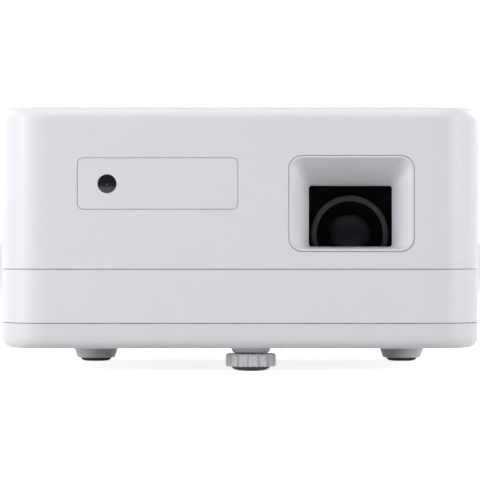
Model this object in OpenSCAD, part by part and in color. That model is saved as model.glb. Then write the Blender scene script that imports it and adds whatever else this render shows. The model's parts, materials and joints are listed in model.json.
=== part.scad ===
// Table-top projector with a disc drawer built into its side.
// X runs across the front, Y from the front face to the rear, Z up from the table.

/* [Body] */
// Width of the casing across its sides
body_w = 233; // [230:1:238]
// Depth of the casing, front to rear
body_d = 180; // [178:1:190]
// Height of the top face above the table
body_h = 128; // [127:1:134]
// Gap between the table and the underside
ground_gap = 11.4; // [11.2:0.1:12]
// Radius of the upright corners
corner_r = 24; // [22:0.5:24.5]
// Rounding around the top face
top_round = 5.5; // [4:0.5:8]
// Rounding around the underside
base_round = 5; // [4:0.5:7]
// Thickness of the moulded walls
wall = 2.5; // [2.3:0.1:2.8]
// Height of the seam between pan and band
low_seam_z = 23.7; // [23.5:0.1:24]
// Height of the seam between band and upper housing
high_seam_z = 49.8; // [49:0.1:50.5]
// Shadow gap at each seam
seam_gap = 0.4; // [0.3:0.1:0.6]

/* [Lens] */
// Distance of the lens axis right of the middle
lens_x = 54; // [52:0.5:56]
// Height of the lens axis
lens_z = 66.6; // [66:0.1:67]
// Depth of the hood from the front face to its window
hood_depth = 24; // [22:0.5:24.5]
// Outer radius of the ring round the front glass
lens_ring_r = 19.4; // [18:0.1:20]
// Radius of the clear front glass
glass_r = 10.6; // [10:0.1:11.5]
// Teeth on the focus ring
ring_teeth = 62; // [62:62]
// Teeth on the focus wheel's pinion
pinion_teeth = 24; // [24:24]

/* [Receiver panel] */
// Width of the flush panel
panel_w = 77.6; // [60:0.2:80]
// Height of the flush panel
panel_h = 25; // [20:0.5:28]
// Radius of the infra-red window
ir_r = 4.6; // [3:0.1:6]

/* [Disc drive] */
// Diameter of the disc recess in the tray
disc_recess_d = 121; // [120.6:0.1:121.4]
// Width of the tray's front bezel
bezel_w = 130; // [128:0.5:131]
// Height of the tray's front bezel
bezel_h = 14.2; // [13.6:0.1:14.4]
// How far the bezel and the louvre stand out of the sides
side_proud = 0.4; // [0.2:0.1:0.6]
// Direction in which the pickup leaves the spindle
sled_angle = 225; // [220:1:230]

/* [Feet] */
// Rear foot spacing, left foot to right foot
rear_foot_span = 162; // [150:1:166]
// Radius of the front foot's thumb wheel
foot_wheel_r = 12.2; // [11:0.1:13]
// Lobes round the thumb wheel
foot_lobes = 16; // [12:1:20]
// Radius of the front foot's screw
foot_screw_r = 3; // [2.5:0.1:3.2]

/* [Controls] */
// Width of the key panel on top
keys_w = 92; // [90:1:96]
// Depth of the key panel on top
keys_d = 40; // [38:1:44]
// Radius of the round keys
round_key_r = 5.5; // [4.5:0.5:6]

/* [Cooling] */
// Side length of the square exhaust fan
fan_size = 60; // [58:1:60]
// Blades on the fan
fan_blades = 7; // [5:1:9]
// Fins on the heat sink
fins = 14; // [8:1:16]

/* [Hidden] */
$fn = 64;

// Colours
shell_white = [0.84, 0.84, 0.86];
pan_grey = [0.80, 0.81, 0.83];
wheel_grey = [0.66, 0.67, 0.69];
dark_plastic = [0.13, 0.13, 0.14];
rubber_black = [0.10, 0.10, 0.10];
glass_blue = [0.62, 0.70, 0.80, 0.5];
steel = [0.70, 0.71, 0.73];
aluminium = [0.78, 0.79, 0.80];
brass = [0.80, 0.65, 0.33];
board_green = [0.10, 0.34, 0.20];

// Casing
front_y = -body_d / 2;
rear_y = body_d / 2;
side_x = body_w / 2;
pan_top = low_seam_z - seam_gap / 2;
band_base = low_seam_z + seam_gap / 2;
band_top = high_seam_z - seam_gap / 2;
housing_base = high_seam_z + seam_gap / 2;
pan_floor = ground_gap + wall;
ceiling_z = body_h - wall;
lip_h = 1.6;
lip_t = 1.1;
lip_clearance = 0.15;
inset_gap = 0.25;
post_x = side_x - 18;
post_y = rear_y - 18;
post_r = 4.5;
screw_r = 1.4;
screw_head_r = 2.8;

// Lens hood
mouth_x = 53.8;
mouth_z = 81.45;
mouth_w = 60.8;
mouth_h = 46.7;
mouth_r = 6.7;
window_x = 54.1;
window_z = 75.55;
window_w = 40.6;
window_h = 29.7;
window_r = 1.3;
hood_skin = 1.5;
hood_lip = 1;
hood_back = front_y + hood_depth;

// Lens barrel
barrel_r = 27.5;
barrel_front = -58;
tube_r = 24.5;
ring_front = -62;
gear_y0 = -54.6;
gear_y1 = -49.4;
gear_module = 1;
pinion_z = lens_z + (ring_teeth + pinion_teeth) * gear_module / 2;
thumb_r = 15.6;
thumb_y0 = -41;
thumb_y1 = -35;
axle_r = 2;
pocket_w = 36;
pocket_d = 14;
pocket_depth = 6.5;

// Light engine
case_w = 76;
case_h = 58;
case_y0 = -12;
case_y1 = 56;
case_wall = 2;
condenser_r = 16.5;

// Receiver panel
panel_x = -39.7;
panel_z = 91.1;
panel_r = 2.8;
panel_t = 1.3;
ir_x = -64.1;
ir_z = 91;

// Openings in the sides and rear
grille_y = 32;
grille_z = 87;
grille_w = 62;
grille_h = 58;
grille_r = 5;
louvre_w = 122;
louvre_z0 = 27.2;
louvre_z1 = 47.8;
rear_x0 = -88;
rear_x1 = 88;
rear_z0 = 54.5;
rear_z1 = 84;
inlet_x = 66;
inlet_z = 32.4;

// Key panel
keys_x = -36;
keys_y = -30;
keys_r = 6;
nav_x = keys_x;
power_key_x = keys_x - 34;
source_key_x = keys_x + 34;
panel_drop = 1.5;
key_plate_t = 1.1;
key_top = body_h - 0.1;
key_base = 123.6;

// Disc drive, from the chassis floor up
drive_x0 = 2.7 - side_x;
drive_x1 = drive_x0 + 126;
drive_half = 64;
sheet = 0.8;
drive_z = 26;
cover_z = 40.8;
disc_x = drive_x0 + 63.3;
tray_floor_z = 34;
tray_rim_z = 36.2;
tray_base_z = 31;
tray_half = 61.7;
tray_x0 = drive_x0 - 0.5;
tray_x1 = drive_x1 - 1.4;
bezel_z = drive_z + 0.2;
eject_y = -38;
eject_z = bezel_z + 5;
rod_y = 15;
rod_z = 30.6;
rod_r = 1;
screw_y = 18.6;
lead_r = 1.1;
sled_rest = 24;
lug_r = 4;
// Across and along from the spindle, and the angle of the neck
traverse_lugs = [[30, 28.5, 270], [40, -26.5, 90], [-20.5, 0, 0]];

// Feet
foot_x = 5.3;
foot_y = -68;
rear_foot_x0 = -76.3;
rear_foot_y = 51;

// ---------------------------------------------------------------- shared shapes

// Rounded rectangle about the origin
module round_rect(w, h, r) {
    square([w, h - 2 * r], center = true);
    square([w - 2 * r, h], center = true);
    for (sx = [-1, 1], sy = [-1, 1])
        translate([sx * (w / 2 - r), sy * (h / 2 - r)]) circle(r);
}

// A drawing in X and Z, thickened along Y
module along_y(y0, y1) {
    translate([0, y1, 0]) rotate([90, 0, 0]) linear_extrude(y1 - y0) children();
}

// A drawing in Y and Z, thickened along X
module along_x(x0, x1) {
    translate([x0, 0, 0]) rotate([90, 0, 90]) linear_extrude(x1 - x0) children();
}

// A drawing in X and Y, thickened along Z
module along_z(z0, z1) {
    translate([0, 0, z0]) linear_extrude(z1 - z0) children();
}

// Upright block with rounded corners, its walls square to the table
module upright_block(w, d, r, z0, z1) {
    along_z(z0, z1) round_rect(w, d, r);
}

module tube(r_out, r_in, z0, z1) {
    difference() {
        translate([0, 0, z0]) cylinder(r = r_out, h = z1 - z0);
        translate([0, 0, z0 - 1]) cylinder(r = r_in, h = z1 - z0 + 2);
    }
}

module corner_cut(r) {
    difference() {
        square(r + 1);
        circle(r);
    }
}

// Half of a wall section, rounded at its outer top and outer foot
module edge_section(reach, z0, z1, r_top, r_foot) {
    difference() {
        translate([0, z0]) square([reach, z1 - z0]);
        if (r_top > 0) translate([reach - r_top, z1 - r_top]) corner_cut(r_top);
        if (r_foot > 0) translate([reach - r_foot, z0 + r_foot]) mirror([0, 1]) corner_cut(r_foot);
    }
}

// Block with upright rounded corners and a rounding that runs all the way round its top or foot
module soft_block(w, d, r, z0, z1, r_top = 0, r_foot = 0) {
    for (quarter = [0:3]) {
        sx = (quarter == 0 || quarter == 3) ? 1 : -1;
        sy = quarter < 2 ? 1 : -1;
        translate([sx * (w / 2 - r), sy * (d / 2 - r), 0]) rotate([0, 0, 90 * quarter])
            rotate_extrude(angle = 90) edge_section(r, z0, z1, r_top, r_foot);
    }
    for (turn = [0, 180]) {
        rotate([0, 0, turn]) translate([w / 2 - r, d / 2 - r, 0]) rotate([90, 0, 0])
            linear_extrude(d - 2 * r) edge_section(r, z0, z1, r_top, r_foot);
        rotate([0, 0, turn]) translate([r - w / 2, d / 2 - r, 0]) rotate([90, 0, 90])
            linear_extrude(w - 2 * r) edge_section(r, z0, z1, r_top, r_foot);
    }
    translate([r - w / 2, r - d / 2, z0]) cube([w - 2 * r, d - 2 * r, z1 - z0]);
}

// Solid core of a lower shell, which becomes the locating lip once the shell is hollowed
module lip_core(z) {
    shrink = 2 * (wall - lip_t);
    upright_block(body_w - shrink, body_d - shrink, corner_r - shrink / 2, z - 2, z + lip_h);
}

// Room for that lip, cut out of the shell above
module seam_rebate(z) {
    shrink = 2 * (wall - lip_t - lip_clearance);
    upright_block(body_w - shrink, body_d - shrink, corner_r - shrink / 2,
                  z - 1, z + lip_h + lip_clearance);
}

module at_posts() {
    for (sx = [-1, 1], sy = [-1, 1]) translate([sx * post_x, sy * post_y, 0]) children();
}

// Slot with round ends, its long side upright
module slot(w, h) {
    square([w, h - w], center = true);
    for (end = [-1, 1]) translate([0, end * (h - w) / 2]) circle(w / 2);
}

// Straight-flanked gear outline with one tooth on the first axis
module gear(teeth) {
    pitch_r = teeth * gear_module / 2;
    tip_r = pitch_r + 0.85 * gear_module;
    root_r = pitch_r - 1.15 * gear_module;
    half_tooth = 0.7 * gear_module;
    tip_angle = (half_tooth - 0.85 * gear_module * tan(20)) / tip_r * 180 / PI;
    root_angle = (half_tooth + 1.15 * gear_module * tan(20)) / root_r * 180 / PI;
    corner = [[root_r, -root_angle], [tip_r, -tip_angle], [tip_r, tip_angle], [root_r, root_angle]];
    polygon([for (tooth = [0:teeth - 1]) for (c = corner)
        c[0] * [cos(c[1] + tooth * 360 / teeth), sin(c[1] + tooth * 360 / teeth)]]);
}

// Turns and shifts a piece from the Z axis to the lens axis
module on_lens_axis() {
    translate([lens_x, 0, lens_z]) rotate([-90, 0, 0]) children();
}

// Glass with two domed faces, from z0 to z1 on its axis
module biconvex(r, z0, z1, edge) {
    dome = (z1 - z0 - edge) / 2;
    ball_r = (r * r + dome * dome) / (2 * dome);
    intersection() {
        translate([0, 0, z0]) cylinder(r = r, h = z1 - z0);
        translate([0, 0, z0 + ball_r]) sphere(ball_r, $fn = 96);
        translate([0, 0, z1 - ball_r]) sphere(ball_r, $fn = 96);
    }
}

// ---------------------------------------------------------------- casing

module wheel_pocket() {
    translate([lens_x, (thumb_y0 + thumb_y1) / 2, 0])
        upright_block(pocket_w, pocket_d, 5, body_h - pocket_depth, body_h + 1);
}

module wheel_tub() {
    translate([lens_x, (thumb_y0 + thumb_y1) / 2, 0])
        upright_block(pocket_w + 4, pocket_d + 4, 7, body_h - pocket_depth - 2, ceiling_z + 0.5);
}

module key_posts() {
    for (sx = [-1, 1]) translate([keys_x + sx * 24, keys_y + 15.5, 120.1])
        cylinder(r = 2.5, h = ceiling_z - 120.1 + 0.5);
}

module upper_housing() color(shell_white) {
    difference() {
        union() {
            difference() {
                soft_block(body_w, body_d, corner_r, housing_base, body_h, top_round);
                soft_block(body_w - 2 * wall, body_d - 2 * wall, corner_r - wall,
                           housing_base - 1, ceiling_z, top_round - wall);
            }
            at_posts() tube(post_r, screw_r, housing_base, ceiling_z + 0.5);
            wheel_tub();
            key_posts();
        }
        seam_rebate(housing_base);
        receiver_seat();
        hood_opening();
        side_openings();
        rear_opening();
        key_panel_seat();
        wheel_pocket();
        // Slot through which the wheel's rim shows
        translate([lens_x - 13, thumb_y0 - 0.6, body_h - 12]) cube([26, thumb_y1 - thumb_y0 + 1.2, 8]);
    }
}

module receiver_seat() {
    along_y(front_y - 1, front_y + panel_t)
        translate([panel_x, panel_z]) round_rect(panel_w, panel_h, panel_r);
    translate([ir_x, front_y - 1, ir_z]) rotate([-90, 0, 0]) cylinder(r = ir_r + 0.6, h = wall + 2);
}

module hood_opening() {
    along_y(front_y - 1, front_y + wall + 1)
        translate([mouth_x, mouth_z]) round_rect(mouth_w, mouth_h, mouth_r);
}

module side_openings() {
    along_x(-side_x - 1, side_x + 1)
        translate([grille_y, grille_z]) round_rect(grille_w, grille_h, grille_r);
}

module rear_opening() {
    ledge = 3;
    translate([(rear_x0 + rear_x1) / 2, 0, (rear_z0 + rear_z1) / 2]) {
        along_y(rear_y - 1.5, rear_y + 1) round_rect(rear_x1 - rear_x0, rear_z1 - rear_z0, 4);
        along_y(rear_y - wall - 1, rear_y)
            round_rect(rear_x1 - rear_x0 - 2 * ledge, rear_z1 - rear_z0 - 2 * ledge, 2);
    }
}

module key_panel_seat() {
    ledge = 3;
    translate([keys_x, keys_y, 0]) {
        upright_block(keys_w, keys_d, keys_r, body_h - panel_drop, body_h + 1);
        upright_block(keys_w - 2 * ledge, keys_d - 2 * ledge, keys_r - ledge, ceiling_z - 1, body_h);
    }
}

// Webs that tie a band post to the two walls of its corner
module post_webs() {
    for (sx = [-1, 1], sy = [-1, 1]) scale_to_corner(sx, sy) {
        translate([post_x + post_r - 0.5, post_y - 1, band_base + 2.5])
            cube([side_x - wall - post_x - post_r + 1, 2, band_top - band_base - 4]);
        translate([post_x - 1, post_y + post_r - 0.5, band_base + 2.5])
            cube([2, rear_y - wall - post_y - post_r + 1, band_top - band_base - 4]);
    }
}

// Mirrors a piece drawn in the rear right corner into another corner
module scale_to_corner(sx, sy) {
    mirror([sx < 0 ? 1 : 0, 0, 0]) mirror([0, sy < 0 ? 1 : 0, 0]) children();
}

// Shelf above the drive, which carries the main board
module deck_shelf() {
    along_z(42.4, 44.4) intersection() {
        round_rect(body_w - 2 * wall + 1, body_d - 2 * wall + 1, corner_r - wall);
        translate([-side_x, front_y]) square([side_x + 14, body_d]);
    }
    for (x = [-84, 2], y = [-54, 62]) translate([x, y, 44]) cylinder(r = 3, h = 8);
}

module deck_band() color(shell_white) {
    difference() {
        union() {
            difference() {
                union() {
                    upright_block(body_w, body_d, corner_r, band_base, band_top);
                    lip_core(band_top);
                }
                upright_block(body_w - 2 * wall, body_d - 2 * wall, corner_r - wall,
                              band_base - 1, band_top + lip_h + 1);
            }
            at_posts() tube(post_r, screw_r + 0.3, band_base + 2.5, band_top);
            post_webs();
            deck_shelf();
        }
        seam_rebate(band_base);
        at_posts() translate([0, 0, band_base - 1]) cylinder(r = screw_r + 0.3, h = 40);
        along_x(-side_x - 1, wall - side_x + 1)
            translate([0, drive_z + bezel_h / 2 + 0.2]) round_rect(bezel_w + 0.6, bezel_h + 0.6, 1.6);
        along_x(side_x - wall - 1, side_x + 1)
            translate([0, (louvre_z0 + louvre_z1) / 2]) round_rect(louvre_w, louvre_z1 - louvre_z0, 3);
        along_y(rear_y - wall - 1, rear_y + 1)
            translate([inlet_x, inlet_z]) round_rect(21, 11, 5.4);
    }
}

module base_pan() color(pan_grey) {
    difference() {
        union() {
            difference() {
                union() {
                    soft_block(body_w, body_d, corner_r, ground_gap, pan_top, 0, base_round);
                    lip_core(pan_top);
                }
                soft_block(body_w - 2 * wall, body_d - 2 * wall, corner_r - wall,
                           pan_floor, pan_top + lip_h + 1, 0, base_round - wall);
            }
            at_posts() translate([0, 0, pan_floor - 1]) cylinder(r = post_r, h = pan_top - pan_floor + 1);
            // Foot nut, insert boss, drive pads and board standoffs
            translate([foot_x, foot_y, pan_floor - 1]) cylinder(r = 7, h = 11);
            translate([0, 0, pan_floor - 1]) cylinder(r = 8, h = 7.5);
            for (x = [-100, 2], y = [-48, 48]) translate([x, y, pan_floor - 1])
                cylinder(r = 4, h = drive_z - pan_floor + 1);
            for (x = [30, 78], y = [4, 42]) translate([x, y, pan_floor - 1]) cylinder(r = 3, h = 5.7);
        }
        at_posts() {
            translate([0, 0, ground_gap - 1]) cylinder(r = screw_r + 0.3, h = 20);
            translate([0, 0, ground_gap - 1]) cylinder(r = screw_head_r + 0.5, h = 4);
        }
        translate([foot_x, foot_y, ground_gap - 1]) cylinder(r = foot_screw_r + 0.05, h = 20);
        translate([0, 0, ground_gap - 1]) cylinder(r = 5, h = 20);
        // Air slots under the power board
        for (k = [-4:4]) along_z(ground_gap - 1, pan_floor + 1)
            translate([54 + k * 6, 24]) slot(2.6, 30);
    }
}

module receiver_panel() color(shell_white) {
    along_y(front_y, front_y + panel_t) difference() {
        translate([panel_x, panel_z])
            round_rect(panel_w - 2 * inset_gap, panel_h - 2 * inset_gap, panel_r - inset_gap);
        translate([ir_x, ir_z]) circle(ir_r);
    }
}

module ir_window() color(dark_plastic) {
    translate([ir_x, front_y, ir_z]) rotate([-90, 0, 0]) intersection() {
        union() {
            cylinder(r = ir_r, h = 4);
            translate([0, 0, panel_t + 0.1]) cylinder(r = ir_r + 0.5, h = 1);
        }
        translate([0, 0, 40]) sphere(40, $fn = 96);
    }
}

// Tapered passage from the hood's mouth back to its window
module hood_taper(y0, y1, grow) {
    hull() {
        along_y(y0, y0 + 0.01) translate([mouth_x, mouth_z])
            round_rect(mouth_w - 2 * hood_lip - 2 * inset_gap + 2 * grow,
                       mouth_h - 2 * hood_lip - 2 * inset_gap + 2 * grow, mouth_r - 1.2, $fn = 32);
        along_y(y1 - 0.01, y1) translate([window_x, window_z])
            round_rect(window_w + 2 * grow, window_h + 2 * grow, window_r + grow, $fn = 32);
    }
}

module lens_hood() color(shell_white) {
    difference() {
        union() {
            along_y(front_y, front_y + wall) translate([mouth_x, mouth_z])
                round_rect(mouth_w - 2 * inset_gap, mouth_h - 2 * inset_gap, mouth_r - inset_gap);
            along_y(front_y + wall, front_y + wall + hood_skin) translate([mouth_x, mouth_z])
                round_rect(mouth_w + 6, mouth_h + 6, mouth_r + 2);
            hood_taper(front_y + wall, hood_back, hood_skin);
        }
        hood_taper(front_y, hood_back, 0);
        along_y(hood_back - 0.5, hood_back + 1) translate([window_x, window_z])
            round_rect(window_w, window_h, window_r);
        along_y(front_y - 1, front_y + 0.01) translate([mouth_x, mouth_z])
            round_rect(mouth_w - 2 * hood_lip - 2 * inset_gap, mouth_h - 2 * hood_lip - 2 * inset_gap,
                       mouth_r - 1.2);
    }
}

module side_grille() {
    fit_w = grille_w - 2 * inset_gap;
    fit_h = grille_h - 2 * inset_gap;
    along_x(side_x - wall, side_x) translate([grille_y, grille_z]) difference() {
        round_rect(fit_w, fit_h, grille_r - inset_gap);
        for (row = [-5:5]) translate([0, row * 4.8]) rotate(90) slot(2.8, fit_w - 9);
    }
    along_x(side_x - wall - 1.5, side_x - wall) translate([grille_y, grille_z]) difference() {
        round_rect(fit_w + 5, fit_h + 5, grille_r + 2);
        round_rect(fit_w - 7, fit_h - 3, 2);
    }
    for (y = [-12, 12]) along_x(side_x - wall - 1.5, side_x - wall)
        translate([grille_y + y, grille_z]) square([2, fit_h], center = true);
}

module side_grilles() color(shell_white) {
    side_grille();
    mirror([1, 0, 0]) side_grille();
    // Pillars that the fan is screwed to
    for (sy = [-1, 1], sz = [-1, 1]) along_x(fan_x1, side_x - wall)
        translate([grille_y + sy * fan_hole, grille_z + sz * fan_hole]) difference() {
            circle(3.6);
            circle(1.3);
        }
}

module band_louvre() color(shell_white) {
    mid_z = (louvre_z0 + louvre_z1) / 2;
    fit_w = louvre_w - 2 * inset_gap;
    fit_h = louvre_z1 - louvre_z0 - 2 * inset_gap;
    along_x(side_x - wall, side_x + side_proud) translate([0, mid_z]) difference() {
        round_rect(fit_w, fit_h, 3 - inset_gap);
        round_rect(fit_w - 4, fit_h - 4, 1.4);
    }
    for (blade = [-2:2]) translate([side_x - wall, -fit_w / 2 + 1, mid_z + blade * 3.4])
        rotate([-90, 0, 0]) linear_extrude(fit_w - 2)
            polygon([[0, -1.2], [0, 0], [wall + side_proud, 1.2], [wall + side_proud, 0]]);
    for (y = [-29, 0, 29]) translate([side_x - wall, y - 0.8, louvre_z0 + 1])
        cube([1.2, 1.6, fit_h - 1.5]);
    // Flange that holds it behind the wall
    along_x(side_x - wall - 1.2, side_x - wall) translate([0, mid_z]) difference() {
        round_rect(fit_w + 4, fit_h + 2.6, 3);
        round_rect(fit_w - 4, fit_h - 4, 1.4);
    }
}

module rear_panel() color(dark_plastic) {
    w = rear_x1 - rear_x0 - 2 * inset_gap;
    h = rear_z1 - rear_z0 - 2 * inset_gap;
    along_y(rear_y - 1.5, rear_y - 0.3) difference() {
        translate([(rear_x0 + rear_x1) / 2, (rear_z0 + rear_z1) / 2]) round_rect(w, h, 4 - inset_gap);
        for (k = [0:15]) translate([22 + 4 * k, (rear_z0 + rear_z1) / 2]) slot(2.4, h - 8);
        for (x = hdmi_x) translate([x, hdmi_z]) square([15.4, 6.2], center = true);
        for (x = usb_x) translate([x, usb_z]) square([14.2, 7], center = true);
        for (x = jack_x) translate([x, jack_z]) circle(3.4);
    }
}

// ---------------------------------------------------------------- sockets

hdmi_x = [-72, -52];
hdmi_z = 62;
usb_x = [-30, -12];
usb_z = 62;
jack_x = [-70, -54];
jack_z = 75;
board_z = 52;
board_t = 1.6;
board_top = board_z + board_t;

module ac_inlet() color(dark_plastic) {
    back_y = rear_y - 18;
    difference() {
        union() {
            along_y(rear_y - 1, rear_y - 0.1) translate([inlet_x, inlet_z]) round_rect(20.4, 10.4, 5.1);
            along_y(back_y, rear_y - 1) translate([inlet_x, inlet_z]) round_rect(20.4, 10.4, 5.1);
            along_y(rear_y - wall - 1.5, rear_y - wall) translate([inlet_x, inlet_z])
                round_rect(27, 12.4, 2);
        }
        along_y(back_y + 4, rear_y + 1) translate([inlet_x, inlet_z]) round_rect(16.8, 8, 3.9);
    }
    for (side = [-1, 1]) translate([inlet_x + side * 4.3, back_y + 2, inlet_z])
        rotate([-90, 0, 0]) cylinder(r = 1.2, h = 12);
}

// Metal mouth of a socket with a tongue inside
module socket_mouth(x, z, y0, w, h, tongue_h, tongue_z) {
    along_y(y0, rear_y - 0.1) translate([x, z]) difference() {
        square([w, h], center = true);
        square([w - 0.8, h - 0.8], center = true);
    }
    along_y(y0, y0 + 1) translate([x, z]) square([w, h], center = true);
    along_y(y0, rear_y - 2) translate([x, z + tongue_z]) square([w - 4, tongue_h], center = true);
}

module socket_stand(x, y0, w, z_top) {
    translate([x - w / 2 + 1, y0 + 0.5, board_top]) cube([w - 2, 10, z_top - board_top]);
}

module hdmi_sockets() color(steel) {
    for (x = hdmi_x) {
        socket_mouth(x, hdmi_z, 77, 15, 5.6, 1, 0);
        socket_stand(x, 76.5, 15, hdmi_z - 2.8);
    }
}

module usb_sockets() color(steel) {
    for (x = usb_x) {
        socket_mouth(x, usb_z, 76, 13.6, 6.4, 1.8, 1);
        socket_stand(x, 75.5, 13.6, usb_z - 3.2);
    }
}

module av_jacks() color(dark_plastic) {
    for (x = jack_x) difference() {
        union() {
            translate([x - 4, 74, jack_z - 4]) cube([8, 12, 8]);
            translate([x, 74, jack_z]) rotate([-90, 0, 0]) cylinder(r = 3.1, h = rear_y - 0.1 - 74);
        }
        translate([x, 76, jack_z]) rotate([-90, 0, 0]) cylinder(r = 1.8, h = 20);
    }
    // Riser board that carries both jacks, standing on the main board
    translate([jack_x[0] - 5, 72.4, board_top])
        cube([jack_x[1] - jack_x[0] + 10, board_t, jack_z + 5 - board_top]);
}

// ---------------------------------------------------------------- keys

// One quarter of the ring of arrow keys
module arrow_shape(angle, grow) {
    intersection() {
        difference() {
            circle(15.6 + grow);
            circle(8.2 - grow);
        }
        rotate(angle) translate([grow * -1.4, 0])
            polygon([[0, 0], [30, -26 - grow], [30, 26 + grow]]);
    }
}

module key_shape(name, grow) {
    if (name == "power") translate([power_key_x, keys_y]) circle(round_key_r + grow);
    if (name == "source") translate([source_key_x, keys_y]) circle(round_key_r + grow);
    if (name == "ok") translate([nav_x, keys_y]) circle(6.4 + grow);
    if (name == "right") translate([nav_x + 1, keys_y]) arrow_shape(0, grow);
    if (name == "up") translate([nav_x, keys_y + 1]) arrow_shape(90, grow);
    if (name == "left") translate([nav_x - 1, keys_y]) arrow_shape(180, grow);
    if (name == "down") translate([nav_x, keys_y - 1]) arrow_shape(270, grow);
}

// Middle of each key, where its stem meets the switch
function key_stem(name) =
    name == "power" ? [power_key_x, keys_y] :
    name == "source" ? [source_key_x, keys_y] :
    name == "right" ? [nav_x + 12.5, keys_y] :
    name == "up" ? [nav_x, keys_y + 12.5] :
    name == "left" ? [nav_x - 12.5, keys_y] :
    name == "down" ? [nav_x, keys_y - 12.5] : [nav_x, keys_y];

key_names = ["power", "source", "ok", "up", "down", "left", "right"];

module key(name, tint) color(tint) {
    along_z(key_base + 1.2, key_top) key_shape(name, 0);
    translate([key_stem(name)[0], key_stem(name)[1], key_base]) cylinder(r = 2.6, h = 1.3);
}

module control_panel() color(dark_plastic) {
    panel_z0 = body_h - panel_drop;
    along_z(panel_z0, panel_z0 + key_plate_t) difference() {
        translate([keys_x, keys_y])
            round_rect(keys_w - 2 * inset_gap, keys_d - 2 * inset_gap, keys_r - inset_gap);
        for (name = key_names) key_shape(name, 0.35);
    }
}

module key_board() color(board_green) {
    translate([keys_x - 42, keys_y - 18, 118.5]) cube([84, 36, 1.6]);
    for (name = key_names) translate([key_stem(name)[0] - 3, key_stem(name)[1] - 3, 120])
        cube([6, 6, 1.9]);
    for (name = key_names) translate([key_stem(name)[0], key_stem(name)[1], 121.5])
        cylinder(r = 1.7, h = 1.4);
}

// ---------------------------------------------------------------- feet

// Moulded cup, flared where it meets the underside
module rear_feet() color(pan_grey) {
    for (x = [rear_foot_x0, rear_foot_x0 + rear_foot_span]) translate([x, rear_foot_y, 0])
        difference() {
            rotate_extrude() polygon([[0, ground_gap], [13.4, ground_gap], [12.7, 10.2],
                                      [10.3, 2.7], [9.9, 2], [9.4, 1.7], [0, 1.7]]);
            translate([0, 0, -1]) cylinder(r = 8.1, h = 3.9);
        }
}

module rear_foot_pads() color(rubber_black) {
    for (x = [rear_foot_x0, rear_foot_x0 + rear_foot_span]) translate([x, rear_foot_y, 0])
        rotate_extrude() polygon([[0, 0], [5.8, 0], [7, 0.35], [7.8, 1], [8.1, 1.7], [8.1, 2.9], [0, 2.9]]);
}

module front_foot_boss() color(wheel_grey) {
    translate([foot_x, foot_y, 0]) difference() {
        rotate_extrude() polygon([[0, ground_gap], [9.6, ground_gap], [9.4, 10.2], [8.9, 9.1],
                                  [8.4, 8.9], [0, 8.9]]);
        translate([0, 0, 8]) cylinder(r = foot_screw_r + 0.05, h = 5);
    }
}

module foot_wheel() color(wheel_grey) {
    translate([foot_x, foot_y, 0]) difference() {
        intersection() {
            along_z(2.2, 8.4) difference() {
                circle(foot_wheel_r);
                for (k = [0:foot_lobes - 1]) rotate(k * 360 / foot_lobes - 96)
                    translate([foot_wheel_r + 0.35, 0]) circle(1.25, $fn = 32);
            }
            rotate_extrude() polygon([[0, 2.2], [foot_wheel_r - 0.5, 2.2], [foot_wheel_r, 2.7],
                                      [foot_wheel_r, 7.8], [foot_wheel_r - 0.6, 8.4], [0, 8.4]]);
        }
        translate([0, 0, 2.2]) cylinder(r = foot_screw_r, h = 7);
    }
}

module foot_screw() color(steel) {
    translate([foot_x, foot_y, 2.2]) cylinder(r = foot_screw_r, h = 27.8);
}

module foot_pad() color(rubber_black) {
    translate([foot_x, foot_y, 0]) rotate_extrude()
        polygon([[0, 0], [4.6, 0], [6.9, 0.3], [8.3, 0.8], [9.1, 1.4], [9.5, 2.2], [0, 2.2]]);
}

module tripod_insert() color(brass) {
    difference() {
        tube(5, 2.6, ground_gap + 0.4, ground_gap + 9);
        translate([0, 0, ground_gap + 0.3]) cylinder(r1 = 3.4, r2 = 2.5, h = 0.8);
    }
}

module housing_screws() color(steel) {
    at_posts() {
        translate([0, 0, ground_gap + 0.9]) cylinder(r = screw_head_r, h = 2.1);
        translate([0, 0, ground_gap + 2]) cylinder(r = screw_r, h = 50);
    }
}

// ---------------------------------------------------------------- focus and lens

module lens_holder() color(dark_plastic) {
    difference() {
        union() {
            on_lens_axis() {
                translate([0, 0, barrel_front]) cylinder(r = barrel_r, h = 14);
                translate([0, 0, barrel_front]) cylinder(r = barrel_r - 0.9, h = case_y0 - barrel_front);
                translate([0, 0, barrel_front]) cylinder(r = barrel_r + 1.2, h = 2.8);
                translate([0, 0, gear_y1 + 0.6]) cylinder(r = barrel_r + 1.2, h = 2);
            }
            along_y(case_y0 - 2, case_y0) translate([lens_x, lens_z]) round_rect(64, 56, 4);
            for (y = [barrel_front, thumb_y1 + 2]) along_y(y, y + 2.4) {
                translate([lens_x - 5, lens_z + 20]) square([10, pinion_z - lens_z - 20]);
                translate([lens_x, pinion_z]) circle(5);
            }
        }
        on_lens_axis() translate([0, 0, barrel_front - 1]) cylinder(r = tube_r + 0.08, h = 60);
        translate([lens_x, barrel_front - 1, pinion_z]) rotate([-90, 0, 0])
            cylinder(r = axle_r + 0.05, h = 30);
    }
}

module focus_wheel() color(dark_plastic) {
    translate([lens_x, 0, pinion_z]) {
        rotate([-90, 0, 0]) translate([0, 0, barrel_front + 0.4])
            cylinder(r = axle_r, h = thumb_y1 + 4 - barrel_front);
        along_y(gear_y0 + 0.3, gear_y1 - 0.3) gear(pinion_teeth);
        along_y(gear_y1 - 0.4, thumb_y0 + 0.1) circle(5);
        along_y(thumb_y0, thumb_y1) difference() {
            circle(thumb_r);
            for (k = [0:29]) rotate(k * 12) translate([thumb_r + 0.5, 0]) circle(1);
        }
    }
}

module focus_ring() color(dark_plastic) {
    translate([lens_x, 0, lens_z]) along_y(gear_y0, gear_y1) difference() {
        gear(ring_teeth);
        circle(barrel_r + 0.06);
    }
}

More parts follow.
